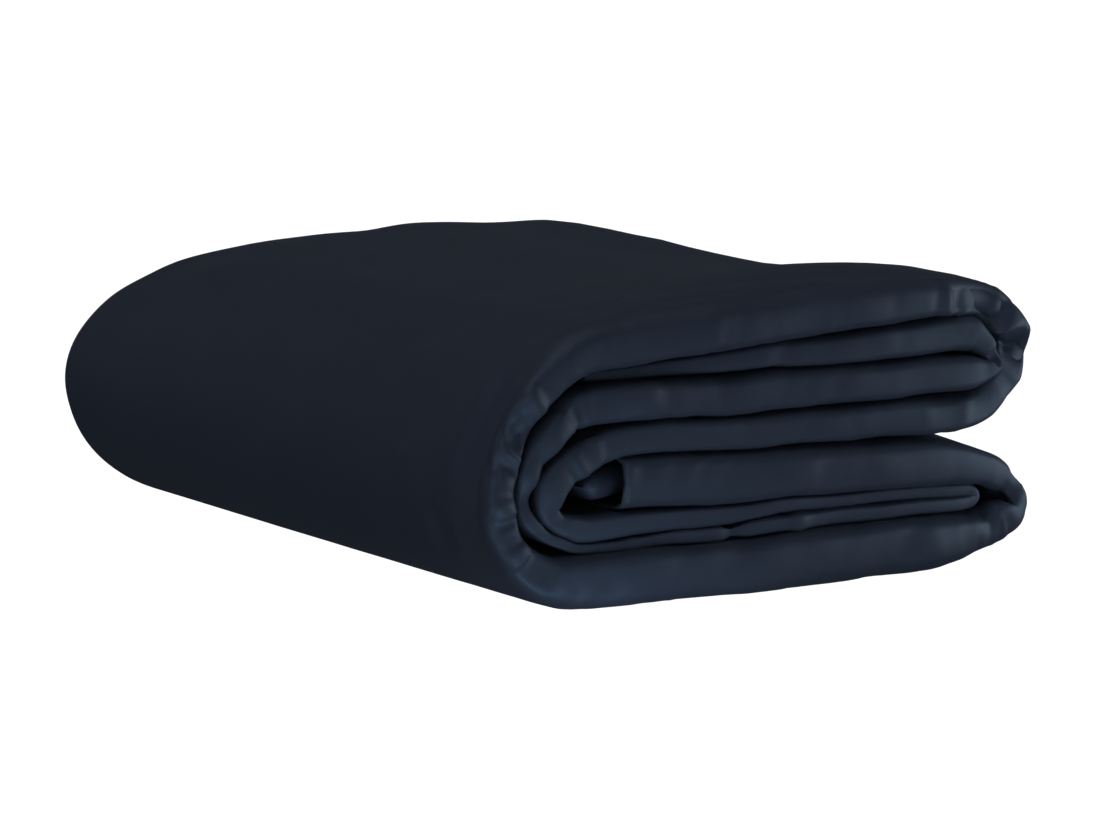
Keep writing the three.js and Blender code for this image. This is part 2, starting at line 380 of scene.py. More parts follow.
WRINKLES = [
    Wrinkles("top", 16, (4, 40), (8, 22), 25, (3.5, 6.5), (-0.4, 0.32)),
    Wrinkles("top", 12, (-10, 6), (6, 14), 60, (4, 8), (-0.4, 0.3)),
    Wrinkles("top of the upper fold", 8, (-6, 6), (4, 9), 70, (3, 5), (-0.3, 0.24)),
    Wrinkles("bottom of the upper fold", 12, (-10, 10), (6, 14), 70, (3.4, 7), (-0.4, 0.3)),
    Wrinkles("bottom of the upper lobe", 10, (-8, 8), (5, 12), 70, (3.4, 6.5), (-0.36, 0.28)),
    Wrinkles("top of the lower lobe", 12, (-12, 12), (6, 16), 65, (4, 8), (-0.4, 0.3)),
    Wrinkles("bottom", 14, (-14, 10), (6, 16), 65, (4, 8.5), (-0.45, 0.36)),
    Wrinkles("spine", 10, (-6, 8), (5, 12), 70, (1.8, 3), (-0.54, 0.36)),
]

FACETS = [
    Facets("upper lobe", (0.35, -3), (30, 14), 11, 4.2, 4),
    Facets("lower lobe", (0.6, -3), (28, 14), 11, 4.2, 9),
    Facets("spine", (0.6, -1), (34, 7), 10, 2.0, 2),
    Facets("middle bend", (0.6, 0), (26, 8), 10, 1.8, 5),
    Facets("inner bend", (0.4, 0), (24, 8), 10, 1.8, 6),
]


def smooth(share: np.ndarray) -> np.ndarray:
    """Ease a share from 0 to 1 in and out."""
    held = np.clip(share, 0.0, 1.0)
    return held * held * (3.0 - 2.0 * held)


def mix(first: np.ndarray, second: np.ndarray, share: np.ndarray) -> np.ndarray:
    """Go from the first value to the second by a share."""
    return first + (second - first) * share


def through(values: Triple, share: float) -> float:
    """Find the value at a share of the way through three.

    Args:
        values: The values at the start, at the centre and at the stop.
        share: How far along, from 0 to 1.

    Returns:
        The value there, on a soft curve.
    """
    start, centre, stop = values
    before = mix(start, centre, share * 2)
    after = mix(centre, stop, share * 2 - 1)
    return float(mix(before, after, smooth(np.float64(share))))


class FoldLine:
    """The strip's middle line at one end of the bundle, with its half thickness and its setback."""

    layer_points = 5

    def __init__(self, end: End, centre_shift: float) -> None:
        """Work out the line's control points.

        Args:
            end: The end of the bundle.
            centre_shift: How far the tables' x is moved to the bundle's middle.
        """
        self.starts: dict[str, Pair] = {}
        rows = self._layer_rows(getattr(LAYERS[0], end.value))
        self.starts[LAYERS[0].name] = (0, len(rows) - 1)
        for turn, layer in zip(TURNS, LAYERS[1:]):
            following = self._layer_rows(getattr(layer, end.value))
            first = len(rows) - 1
            rows += self._turn_rows(getattr(turn, end.value), turn.steps, rows[-1], following[0])
            self.starts[turn.name] = (first, first + turn.steps)
            rows += following
            self.starts[layer.name] = (first + turn.steps, len(rows) - 1)
        self.points = np.array(rows)
        self.points[:, 0] += centre_shift

    def _layer_rows(self, layer: LayerEnd) -> list[list[float]]:
        """List a layer's control points: x, z, half thickness and setback."""
        rows = []
        for i in range(self.layer_points):
            share = i / (self.layer_points - 1)
            sizes = [through(values, share) for values in (layer.z, layer.half, layer.back)]
            rows.append([float(mix(layer.x[0], layer.x[1], share)), *sizes])
        return rows

    @staticmethod
    def _turn_rows(turn: TurnEnd, steps: int, before: list[float], after: list[float]) -> list[list[float]]:
        """List the control points of a turn, two quarter ellipses that meet at its tip.

        Args:
            turn: The turn's sizes at this end.
            steps: The number of steps from the layer before to the layer after.
            before: The last point of the layer before.
            after: The first point of the layer after.

        Returns:
            The points between them: x, z, half thickness and setback.
        """
        rows = []
        for i in range(1, steps):
            angle = np.pi * i / steps
            across = (1 - np.cos(angle)) / 2
            rim, sharpness = (before, turn.sharpness[0]) if across < 0.5 else (after, turn.sharpness[1])
            out = np.sin(angle) ** sharpness
            turn_half = mix(turn.half[0], turn.half[1], smooth(across))
            x = mix(rim[0], turn.tip[0], out)
            z = mix(turn.tip[1], rim[1], abs(np.cos(angle)))
            half = mix(mix(before[2], after[2], across), turn_half, out)
            back = mix(mix(before[3], after[3], across), turn.back, out)
            rows.append([float(x), float(z), float(half), float(back)])
        return rows

    def sample(self, places: np.ndarray) -> tuple[np.ndarray, np.ndarray]:
        """Follow a smooth curve through the control points.

        Args:
            places: Where, counted in spans between control points.

        Returns:
            The values x, z, half thickness and setback at each place, and the heading there in x and z.
        """
        ends = [2 * self.points[0] - self.points[1], 2 * self.points[-1] - self.points[-2]]
        knots = np.vstack([ends[0], self.points, ends[1]])
        span = np.clip(np.floor(places).astype(int), 0, len(self.points) - 2)
        share = (places - span)[:, None]
        p0, p1, p2, p3 = (knots[span + i] for i in range(4))
        steps = [np.linalg.norm((b - a)[:, :2], axis=1)[:, None] for a, b in ((p0, p1), (p1, p2), (p2, p3))]
        d0, d1, d2 = (np.sqrt(np.maximum(step, 1e-6)) for step in steps)
        leave = ((p1 - p0) / d0 - (p2 - p0) / (d0 + d1) + (p2 - p1) / d1) * d1
        reach = ((p2 - p1) / d1 - (p3 - p1) / (d1 + d2) + (p3 - p2) / d2) * d1
        leave[:, 2:] = ((p2 - p0) / 2)[:, 2:]
        reach[:, 2:] = ((p3 - p1) / 2)[:, 2:]
        square = -3 * p1 + 3 * p2 - 2 * leave - reach
        cube = 2 * p1 - 2 * p2 + leave + reach
        values = p1 + leave * share + square * share ** 2 + cube * share ** 3
        slope = (leave + 2 * square * share + 3 * cube * share ** 2)[:, :2]
        return values, slope / np.linalg.norm(slope, axis=1)[:, None]


@dataclass(frozen=True)
class Row:
    """A line of points along the strip: its ply, a share of the way through it, and the sheet's face."""

    ply: Ply
    share: float
    face: Face


@dataclass(frozen=True)
class Sateen:
    """Finely woven dark navy cotton with a faint soft sheen."""

    name: str = "navy_sateen"
    colour: Triple = (0.0106, 0.0138, 0.022)
    worn: Triple = (0.0127, 0.0165, 0.0261)
    roughness: float = 0.5
    specular: float = 0.12
    specular_tint: Triple = (0.4, 0.68, 1.0)
    sheen: float = 0.003
    sheen_tint: Triple = (0.55, 0.68, 0.95)
    sheen_roughness: float = 0.45
    thread_pitch: float = 0.00032
    thread_height: float = 0.00004
    thread_relief: float = 0.35
    thread_wander: float = 0.6
    wave_length: float = 0.314
    mottle_size: float = 0.035
    mottle_detail: float = 4.0

    def material(self) -> bpy.types.Material:
        """Make the node material.

        Returns:
            The material, with its weave on the sheet's own map in metres.
        """
        material = bpy.data.materials.new(self.name)
        material.use_nodes = True
        nodes = material.node_tree.nodes
        links = material.node_tree.links
        shader = nodes["Principled BSDF"]
        shader.inputs["Roughness"].default_value = self.roughness
        shader.inputs["Specular IOR Level"].default_value = self.specular
        shader.inputs["Specular Tint"].default_value = (*self.specular_tint, 1.0)
        shader.inputs["Sheen Weight"].default_value = self.sheen
        shader.inputs["Sheen Roughness"].default_value = self.sheen_roughness
        shader.inputs["Sheen Tint"].default_value = (*self.sheen_tint, 1.0)

        place = nodes.new("ShaderNodeTexCoord")
        mottle = nodes.new("ShaderNodeTexNoise")
        mottle.inputs["Scale"].default_value = 1.0 / self.mottle_size
        mottle.inputs["Detail"].default_value = self.mottle_detail
        links.new(place.outputs["Object"], mottle.inputs["Vector"])
        colours = nodes.new("ShaderNodeMix")
        colours.data_type = "RGBA"
        colours.inputs["A"].default_value = (*self.colour, 1.0)
        colours.inputs["B"].default_value = (*self.worn, 1.0)
        links.new(mottle.outputs["Fac"], colours.inputs["Factor"])
        links.new(colours.outputs["Result"], shader.inputs["Base Color"])

        threads = []
        for direction in ("X", "Y"):
            wave = nodes.new("ShaderNodeTexWave")
            wave.bands_direction = direction
            wave.inputs["Scale"].default_value = self.wave_length / self.thread_pitch
            wave.inputs["Distortion"].default_value = self.thread_wander
            links.new(place.outputs["UV"], wave.inputs["Vector"])
            threads.append(wave)
        weave = nodes.new("ShaderNodeMath")
        weave.operation = "MULTIPLY"
        links.new(threads[0].outputs["Fac"], weave.inputs[0])
        links.new(threads[1].outputs["Fac"], weave.inputs[1])
        bump = nodes.new("ShaderNodeBump")
        bump.inputs["Strength"].default_value = self.thread_relief
        bump.inputs["Distance"].default_value = self.thread_height
        links.new(weave.outputs["Value"], bump.inputs["Height"])
        links.new(bump.outputs["Normal"], shader.inputs["Normal"])
        return material


@dataclass
class FoldedCover:
    """The duvet cover: one thin sheet, folded in four across and then into the layers of the tables."""

    name: str = "folded_cover"
    length: float = 350.0
    height: float = 116.0
    flat_width: float = 1400.0
    flat_length: float = 2000.0
    late_change: float = 1.6
    centre_shift: float = -1.8
    near_roundness: float = 1.2
    far_roundness: float = 0.9
    edge_fullness: float = 0.42
    outer_fullness: float = 0.62
    outer_reach: float = 25.0
    arc_share: float = 0.75
    thickness: float = 1.2
    thickness_share: float = 0.42
    inner_share: float = 0.3
    inner_fold_back: float = 14.0
    fine_rows: int = 25
    fine_share: float = 0.25
    fine_gathering: float = 1.4
    coarse_rows: int = 11
    hidden_rows: int = 12
    outer_rows_inside: int = 7
    near_fold_rows: int = 17
    near_fold_rows_inside: int = 5
    far_fold_rows: int = 4
    far_fold_rows_inside: int = 2
    inner_rows: int = 4
    inner_fold_turns: Triple = (0.5, 0.0, -0.5)
    row_gathering: float = 2.2
    seed: int = 5
    inside_extra_width: float = 3.0
    crease_softness: float = 0.4
    crease_fade: float = 1.5
    crumple_softness: float = 0.15
    crumple_fade: int = 4
    facet_corners: int = 97
    setback_smoothing: float = 9.0
    inner_give: float = 0.6
    far_calm: float = 30.0
    mouth_reach: float = 16.0
    mouth_out: float = 15.0
    mouth_forward: float = 18.0
    mouth_open: float = 0.5
    mouth_round: float = 11.0

    def __post_init__(self) -> None:
        """Sample the fold line of both ends at the same places, and find where the plies start and stop."""
        lines = {end: FoldLine(end, self.centre_shift) for end in End}
        self.starts = lines[End.NEAR].starts
        self.places = self._places()
        self.near, self.near_heading = lines[End.NEAR].sample(self.places)
        self.far, self.far_heading = lines[End.FAR].sample(self.places)
        steps = np.linalg.norm(np.diff(self.near[:, :2], axis=0), axis=1)
        self.along = np.concatenate([[0.0], np.cumsum(steps)])
        self.near_y = -self.length / 2 + self._smoothed(self.near[:, 3])
        self.far_y = self.length / 2 - self._smoothed(self.far[:, 3])
        self.near_depth = self.near_roundness * self.near[:, 2]
        self.far_depth = self.far_roundness * self.far[:, 2]
        self.mouth = np.exp(-self.along / self.mouth_reach)
        past = np.maximum(self._flat("bottom", 0.0) - self.along, self.along - self._flat("top", 1.0))
        self.outer = 1 - smooth(past / self.outer_reach)
        self.outer_start = self.near_y + self.near_depth
        self.outer_stop = self.far_y - self.far_depth
        self.inner_start = self.outer_start + self.inner_fold_back - self.mouth_forward * self.mouth
        self.arc = self.arc_share * (self.near_depth + self.near[:, 2])
        self.quarter = self.flat_width / 4
        self.creases = [(crease, Flanks.SOFT) for crease in [*CREASES, *self._scattered()]]
        self.creases += [(crease, Flanks.FLAT) for crease in CRUMPLES]
        self.sway = self._sway_waves(Unevenness())
        self.ripple = self._ripple_waves(Ripple())

    def _smoothed(self, values: np.ndarray) -> np.ndarray:
        """Smooth values along the strip, so that a soft edge has no kinks."""
        gaps = (self.along[:, None] - self.along) / self.setback_smoothing
        weights = np.exp(-gaps ** 2) * np.gradient(self.along)
        return weights @ values / weights.sum(axis=1)

    def _flat(self, on: str, share: float) -> float:
        """Find how far along the strip a share of a layer or a turn lies."""
        first, last = self.starts[on]
        return float(np.interp(first + share * (last - first), self.places, self.along))

    def _scattered(self) -> list[Crease]:
        """Scatter the small creases of the wrinkle table, always in the same way."""
        chance = np.random.default_rng(self.seed)
        creases = []
        for group in WRINKLES:
            span = self._flat(group.on, 1.0) - self._flat(group.on, 0.0)
            for _ in range(group.count):
                turn = np.radians(chance.uniform(-group.turn_deg, group.turn_deg))
                length = chance.uniform(*group.length)
                share, across = chance.uniform(0.0, 1.0), chance.uniform(*group.across)
                reach = length / 2 * np.array([np.sin(turn) / span, np.cos(turn)])
                ends = (share - reach[0], across - reach[1]), (share + reach[0], across + reach[1])
                width, height = chance.uniform(*group.width), chance.uniform(*group.height)
                creases.append(Crease(group.on, width, height, ends))
        return creases

    @staticmethod
    def _sway_waves(uneven: Unevenness) -> tuple[Unevenness, np.ndarray, np.ndarray, np.ndarray]:
        """Draw the waves of the slow unevenness.

        Args:
            uneven: Its sizes.

        Returns:
            The sizes, and the waves: how fast each turns along x, y and z, its phase, and its push along
            them.
        """
        chance = np.random.default_rng(uneven.seed)
        directions = chance.normal(size=(uneven.waves, 3))
        directions /= np.linalg.norm(directions, axis=1)[:, None]
        pace = 2 * np.pi / chance.uniform(*uneven.wavelength, size=uneven.waves)
        push = chance.normal(size=(uneven.waves, 3)) * uneven.slope / pace[:, None]
        return uneven, directions * pace[:, None], chance.uniform(0, 2 * np.pi, uneven.waves), push

    def _swayed(self, points: np.ndarray) -> np.ndarray:
        """Push points with the slow unevenness, all layers together, and leave the underside flat."""
        uneven, pace, phase, push = self.sway
        waves = np.sin(points @ pace.T + phase)
        ends = np.minimum(self.length / 2 + points[:, 1], self.length / 2 - points[:, 1])
        strength = uneven.rest + (1 - uneven.rest) * np.exp(-np.maximum(ends, 0.0) / uneven.reach)
        moved = waves @ push * strength[:, None]
        moved[:, 2] *= smooth(points[:, 2] / uneven.settled)
        return points + moved

    @staticmethod
    def _ripple_waves(ripple: Ripple) -> tuple[Ripple, np.ndarray, np.ndarray]:
        """Draw the waves of the fine ripple.

        Args:
            ripple: Its sizes.

        Returns:
            The sizes, and the waves: how fast each turns along and across the strip, and its phase.
        """
        chance = np.random.default_rng(ripple.seed)
        turn = np.radians(chance.normal(0.0, ripple.stray_deg, ripple.waves))
        pace = 2 * np.pi / chance.uniform(*ripple.wavelength, size=ripple.waves)
        directions = np.stack([np.cos(turn), np.sin(turn)], axis=1)
        return ripple, directions * pace[:, None], pace * ripple.phase_step

    def _wandered(self, depth: np.ndarray) -> np.ndarray:
        """Find how far each layer strays up or down on its own at a depth behind its near fold."""
        ripple = self.ripple[0]
        chance = np.random.default_rng(ripple.seed)
        lengths = chance.uniform(*ripple.wander_length, size=ripple.waves)
        phases = chance.uniform(0.0, 2 * np.pi, ripple.waves)
        turns = 2 * np.pi * self.along[:, None] / lengths + phases
        waves = np.cos(turns).sum(axis=1) * np.sqrt(2 / ripple.waves)
        return ripple.wander * waves * np.exp(-np.maximum(depth, 0.0) / ripple.puff_reach)

    def _rippled(self, flat: np.ndarray) -> np.ndarray:
        """Find how far the fine ripple stands out at places on the flat sheet."""
        ripple, pace, phase = self.ripple
        waves = np.cos(flat @ pace.T + phase).sum(axis=1) * np.sqrt(2 / ripple.waves)
        crests = ripple.crest_level - np.sqrt(waves ** 2 + ripple.crest_softness)
        slow, quick = (flat[:, 0] / size for size in ripple.patches)
        patch = np.sin(slow * 2 * np.pi) * np.sin(quick * 2 + ripple.patch_phase)
        strength = ripple.calm + (1 - ripple.calm) * (0.5 + 0.5 * patch)
        return ripple.height * strength * crests * np.exp(-(flat[:, 1] / ripple.reach) ** 2)

    def _faceted(self, flat: np.ndarray) -> np.ndarray:
        """Find how far the crumpled patches stand out at places on the flat sheet."""
        height = np.zeros(len(flat))
        count = self.facet_corners
        for patch in FACETS:
            spots = flat - np.array([self._flat(patch.on, patch.place[0]), patch.place[1]])
            strength = np.exp(-((spots / np.array(patch.reach)) ** 2).sum(axis=1))
            spots = (spots + spots.sum(axis=1)[:, None] * (np.sqrt(3) - 1) / 2) / patch.size
            cell = np.floor(spots).astype(int)
            share = spots - cell
            corners = np.random.default_rng(patch.seed).uniform(-1, 1, (count, count))
            first = corners[cell[:, 0] % count, cell[:, 1] % count]
            last = corners[(cell[:, 0] + 1) % count, (cell[:, 1] + 1) % count]
            steep = share[:, 0] > share[:, 1]
            middle = corners[(cell[:, 0] + steep) % count, (cell[:, 1] + ~steep) % count]
            near, far = share.min(axis=1), share.max(axis=1)
            height += patch.height * strength * ((1 - far) * first + (far - near) * middle + near * last)
        return height

    def _relief(self, across: np.ndarray, face: Face) -> np.ndarray:
        """Add up the creases along a row.

        Args:
            across: How far across from the tip of the near fold each point lies.
            face: The sheet's face. The inside follows troughs only, and a little more widely.

        Returns:
            How far the cloth stands out there.
        """
        flat = np.stack([self.along, across], axis=1)
        height = np.zeros(len(across)) if face is Face.IN else self._rippled(flat) + self._faceted(flat)
        for crease, flanks in self.creases:
            if face is Face.OUT or crease.height <= 0:
                height += self._crease_height(flat, crease, flanks, face)
        return height

    def _crease_height(self, flat: np.ndarray, crease: Crease, flanks: Flanks, face: Face) -> np.ndarray:
        """Find how far one crease stands out at places on the flat sheet.

        Args:
            flat: The places.
            crease: The crease.
            flanks: How it falls away from its line.
            face: The sheet's face.

        Returns:
            How far the cloth stands out there.
        """
        line = np.array([[self._flat(crease.on, share), q] for share, q in crease.points])
        gap, share = self._nearest(flat, line)
        width = crease.width + (self.inside_extra_width if face is Face.IN else 0.0)
        soft = (self.crumple_softness if flanks is Flanks.FLAT else self.crease_softness) * width
        softened = (np.sqrt(gap ** 2 + soft ** 2) - soft) / width
        if flanks is Flanks.FLAT:
            return crease.height * (1 - (2 * share - 1) ** self.crumple_fade) * np.maximum(1 - softened, 0.0)
        return crease.height * np.sin(np.pi * share) ** self.crease_fade * np.exp(-softened)

    @staticmethod
    def _nearest(flat: np.ndarray, line: np.ndarray) -> tuple[np.ndarray, np.ndarray]:
        """Measure how far points lie from a line of points.

        Args:
            flat: The points, on the flat sheet.
            line: The line's points.

        Returns:
            The distance of each point, and the share of the line's length at which it is nearest.
        """
        lengths = np.linalg.norm(np.diff(line, axis=0), axis=1)
        gap = np.full(len(flat), np.inf)
        place = np.zeros(len(flat))
        passed = 0.0
        for start, stop, length in zip(line, line[1:], lengths):
            run = (stop - start) / length
            along = np.clip((flat - start) @ run, 0.0, length)
            away = np.linalg.norm(flat - start - along[:, None] * run, axis=1)
            place = np.where(away < gap, passed + along, place)
            gap = np.minimum(gap, away)
            passed += length
        return gap, place / passed

    def _places(self) -> np.ndarray:
        """Set out the sections along the strip, counted in spans between control points."""
        sections = {piece.name: piece.sections for piece in [*LAYERS, *TURNS]}
        places = [np.array([0.0])]
        for name, (first, last) in sorted(self.starts.items(), key=lambda item: item[1]):
            count = (last - first) * sections[name]
            places.append(first + (np.arange(count) + 1) / sections[name])
        return np.concatenate(places)

    def rows(self) -> list[Row]:
        """List the rows of the sheet, all the way round its section.

        Returns:
            The rows of the face outside the packet and then, back again, of the face inside.
        """
        fine = self.fine_share * np.linspace(0, 1, self.fine_rows) ** self.fine_gathering
        upper = np.concatenate([fine, np.linspace(self.fine_share, 1, self.coarse_rows + 1)[1:]])
        lower = np.linspace(0, 1, self.hidden_rows) ** self.row_gathering
        inside = np.linspace(0, 1, self.outer_rows_inside) ** self.row_gathering
        inner = np.linspace(0, 1, self.inner_rows)
        loop = []
        for face, under, over, near, far in (
            (Face.OUT, lower, upper, self.near_fold_rows, self.far_fold_rows),
            (Face.IN, inside, inside, self.near_fold_rows_inside, self.far_fold_rows_inside),
        ):
            rows = [Row(Ply.LOWER_OUTER, share, face) for share in under[::-1]]
            rows += [Row(Ply.NEAR_FOLD, share, face) for share in np.linspace(-1, 1, near + 2)[1:-1]]
            rows += [Row(Ply.UPPER_OUTER, share, face) for share in over]
            rows += [Row(Ply.FAR_FOLD, share, face) for share in np.linspace(0, 1, far + 2)[1:-1]]
            rows += [Row(Ply.UPPER_INNER, share, face) for share in inner[::-1]]
            rows += [Row(Ply.INNER_FOLD, share, face) for share in self.inner_fold_turns]
            rows += [Row(Ply.LOWER_INNER, share, face) for share in inner]
            loop += rows if face is Face.OUT else rows[::-1]
        return loop

    def _at(self, y: np.ndarray) -> tuple[np.ndarray, np.ndarray, np.ndarray]:
        """Find the strip's middle line at each section for a given y.

        Args:
            y: The y of the row at each section.

        Returns:
            The middle line in x and z, the direction of its upper side in x and z, and half the thickness.
        """
        share = np.clip((y + self.length / 2) / self.length, 0.0, 1.0)[:, None] ** self.late_change
        values = mix(self.near, self.far, share)
        heading = mix(self.near_heading, self.far_heading, share)
        heading = heading / np.linalg.norm(heading, axis=1)[:, None]
        upper = np.stack([-heading[:, 1], heading[:, 0]], axis=1)
        return values[:, :2], upper, values[:, 2]

    def _row_y(self, row: Row) -> np.ndarray:
        """Find the y of a row at each section, before the far and inner folds bulge out."""
        if row.ply is Ply.NEAR_FOLD:
            return self.near_y + self.near_depth * (1 - np.cos(row.share * np.pi / 2))
        if row.ply is Ply.FAR_FOLD:
            return self.outer_stop
        if row.ply is Ply.INNER_FOLD:
            return self.inner_start
        if row.ply in (Ply.UPPER_INNER, Ply.LOWER_INNER):
            return mix(self.inner_start, self.outer_stop, row.share)
        return mix(self.outer_start, self.outer_stop, row.share)

    def _inner_gap(self, half: np.ndarray, thick: np.ndarray) -> np.ndarray:
        """Find how far the middle of an inner ply lies from the middle line, open wide at the mouth.

        Args:
            half: Half the strip's thickness at each section.
            thick: The sheet's own thickness there.

        Returns:
            The distance at each section.
        """
        closed = 1 - np.clip(self.along / self.mouth_round, 0.0, 1.0)
        gap = (self.inner_share + self.mouth_open * self.mouth) * half * np.sqrt(1 - closed ** 2)
        return np.maximum(gap, thick / 2)

    def _in_ply(
        self, row: Row, y: np.ndarray, outer: np.ndarray, inner: np.ndarray, sunk: np.ndarray
    ) -> tuple[np.ndarray, np.ndarray, np.ndarray]:
        """Place a row in its ply.

        Args:
            row: The row.
            y: Its y at each section, before the far and inner folds bulge out.
            outer: How far the face of an outer ply lies from the middle line.
            inner: How far the face of an inner ply lies from it.
            sunk: How far the face lies inside the packet.

        Returns:
            The row's distance above the middle line, its y, and how far across the flat sheet it lies.
        """
        angle = row.share * np.pi / 2
        across = self.quarter + self.arc + (y - self.outer_start)
        if row.ply is Ply.UPPER_OUTER:
            return outer, y, across
        if row.ply is Ply.LOWER_OUTER:
            return -outer, y, self.quarter - self.arc - (y - self.outer_start)
        if row.ply is Ply.NEAR_FOLD:
            softer = self.outer if row.share > 0 else np.zeros_like(self.outer)
            fullness = mix(self.edge_fullness, self.outer_fullness, softer)
            offset = outer * np.sign(angle) * abs(np.sin(angle)) ** fullness
            return offset, y + sunk * np.cos(angle), self.quarter + self.arc * row.share
        if row.ply is Ply.FAR_FOLD:
            turned = row.share * np.pi
            offset = (outer + inner) / 2 + (outer - inner) / 2 * np.cos(turned)
            bulge = (self.far_depth - sunk) * np.sin(turned)
            return offset, y + bulge, across + row.share * self.far_depth
        if row.ply is Ply.INNER_FOLD:
            return inner * np.sin(angle), y - inner * np.cos(angle), np.full_like(y, 3 * self.quarter)
        if row.ply is Ply.UPPER_INNER:
            return inner, y, 3 * self.quarter - (y - self.inner_start)
        return -inner, y, 3 * self.quarter + (y - self.inner_start)

    def row_points(self, row: Row) -> tuple[np.ndarray, np.ndarray]:
        """Place a row of the sheet.

        Args:
            row: The row.

        Returns:
            Its points in millimetres, and how far across the flat sheet each one lies.
        """
        ripple = self.ripple[0]
        y = self._row_y(row)
        middle, upper, half = self._at(y)
        middle = middle + upper * self._wandered(y - self.near_y)[:, None]
        half = half + ripple.puff * np.exp(-np.maximum(y - self.near_y, 0.0) / ripple.puff_reach)
        thick = np.minimum(self.thickness, self.thickness_share * half)
        inside = 1.0 if row.face is Face.IN else 0.0
        outer = half - inside * thick
        inner = self._inner_gap(half, thick) + (inside - 0.5) * thick
        offset, y, across = self._in_ply(row, y, outer, inner, inside * thick)
        calm = smooth((self.outer_stop - y) / self.far_calm)
        if row.ply in (Ply.LOWER_OUTER, Ply.NEAR_FOLD, Ply.UPPER_OUTER):
            relief = calm * self._relief(across - self.quarter, row.face)
            turned = np.sin(row.share * np.pi / 2)
            side = {Ply.LOWER_OUTER: -1.0, Ply.NEAR_FOLD: turned, Ply.UPPER_OUTER: 1.0}[row.ply]
            offset = offset + side * relief
            y = y - np.sqrt(1 - side * side) * relief
        elif row.ply in (Ply.UPPER_INNER, Ply.LOWER_INNER):
            side = 1.0 if row.ply is Ply.UPPER_INNER else -1.0
            relief = self._relief(side * (self.arc + y - self.outer_start), Face.IN)
            offset = offset + side * self.inner_give * calm * np.minimum(relief, 0.0)
        place = middle + upper * offset[:, None]
        points = np.stack([place[:, 0], y, place[:, 1]], axis=1)
        if row.ply in (Ply.UPPER_INNER, Ply.INNER_FOLD, Ply.LOWER_INNER):
            points[:, 0] -= self.mouth_out * self.mouth * calm
        return self._lifted(self._swayed(points), inside * thick), across

    def _lifted(self, points: np.ndarray, floor: np.ndarray) -> np.ndarray:
        """Lift points with the swells, in proportion to their height, and keep them above the surface.

        Args:
            points: The points.
            floor: The lowest height that each may have.

        Returns:
            The points, lifted.
        """
        factor = np.ones(len(points))
        for swell in SWELLS:
            dx = (points[:, 0] - swell.x) / swell.reach_x
            dy = (points[:, 1] - swell.y) / swell.reach_y
            factor += swell.lift / self.height * np.exp(-dx * dx - dy * dy)
        lifted = points.copy()
        lifted[:, 2] = np.maximum(points[:, 2] * factor, floor)
        return lifted

    def build(self) -> bpy.types.Object:
        """Fold a flat grid of cloth into the bundle and close it into a thin sheet.

        Returns:
            The cover, in metres, with the flat sheet as its map.
        """
        rows = self.rows()
        folded = [self.row_points(row) for row in rows]
        points = np.stack([place for place, _ in folded], axis=1) * MM
        across = np.stack([value for _, value in folded], axis=1) * MM
        sections, count = points.shape[:2]
        sheet = bmesh.new()
        bmesh.ops.create_grid(sheet, x_segments=count, y_segments=sections - 1, size=0.5)
        chart = sheet.loops.layers.uv.new("sheet")
        index = {}
        for vert in sheet.verts:
            index[vert] = (round((vert.co.x + 0.5) * count), round((vert.co.y + 0.5) * (sections - 1)))
        for face in sheet.faces:
            face.smooth = True
            for loop in face.loops:
                row, section = index[loop.vert]
                loop[chart].uv = (self.along[section] * MM, across[section, row % count])
        first, last = {}, {}
        for vert, (row, section) in index.items():
            vert.co = points[section, row % count]
            if row == 0:
                first[section] = vert
            elif row == count:
                last[section] = vert
        bmesh.ops.weld_verts(sheet, targetmap={last[i]: first[i] for i in first})
        rims = [edge for edge in sheet.edges if edge.is_boundary]
        caps = bmesh.ops.holes_fill(sheet, edges=rims, sides=0)["faces"]
        bmesh.ops.triangulate(sheet, faces=caps, ngon_method="EAR_CLIP")
        bmesh.ops.recalc_face_normals(sheet, faces=sheet.faces)
        mesh = bpy.data.meshes.new(self.name)
        sheet.to_mesh(mesh)
        sheet.free()
        cover = bpy.data.objects.new(self.name, mesh)
        bpy.context.scene.collection.objects.link(cover)
        return cover

    def dress(self, cover: bpy.types.Object, finish: Sateen) -> None:
        """Give the cover its cloth."""
        cover.data.materials.append(finish.material())

    def declare(self, cover: bpy.types.Object) -> None:
        """Hang the cover on the frame's root, and hide the solid duvet cover part that it stands in for."""
        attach(cover, "root")
        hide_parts("duvet_cover")


def light_alone(light: bpy.types.Object, thing: bpy.types.Object) -> None:
    """Let a light fall on one thing alone, which alone throws its shadow.

    Args:
        light: The light.
        thing: The thing that it lights.
    """
    linked = bpy.data.collections.new(light.name + "_linked")
    linked.objects.link(thing)
    light.light_linking.receiver_collection = linked
    light.light_linking.blocker_collection = linked


@dataclass
class Softlight:
    """A wide, distant, soft light: where it comes from, its spread and strength, and if it shows as gloss."""

    name: str
    source: Triple
    spread_deg: float
    strength: float
    gloss: bool = True

    def build(self, only: bpy.types.Object | None = None) -> None:
        """Hang the light and turn it to the bundle.

        Args:
            only: The one object that it lights and that throws its shadow, or None where all objects do.
        """
        data = bpy.data.lights.new(self.name, "SUN")
        data.angle = np.radians(self.spread_deg)
        data.energy = self.strength
        light = bpy.data.objects.new(self.name, data)
        light.visible_glossy = self.gloss
        light.location = self.source
        light.rotation_euler = (-Vector(self.source)).to_track_quat("-Z", "Y").to_euler()
        bpy.context.scene.collection.objects.link(light)
        if only:
            light_alone(light, only)


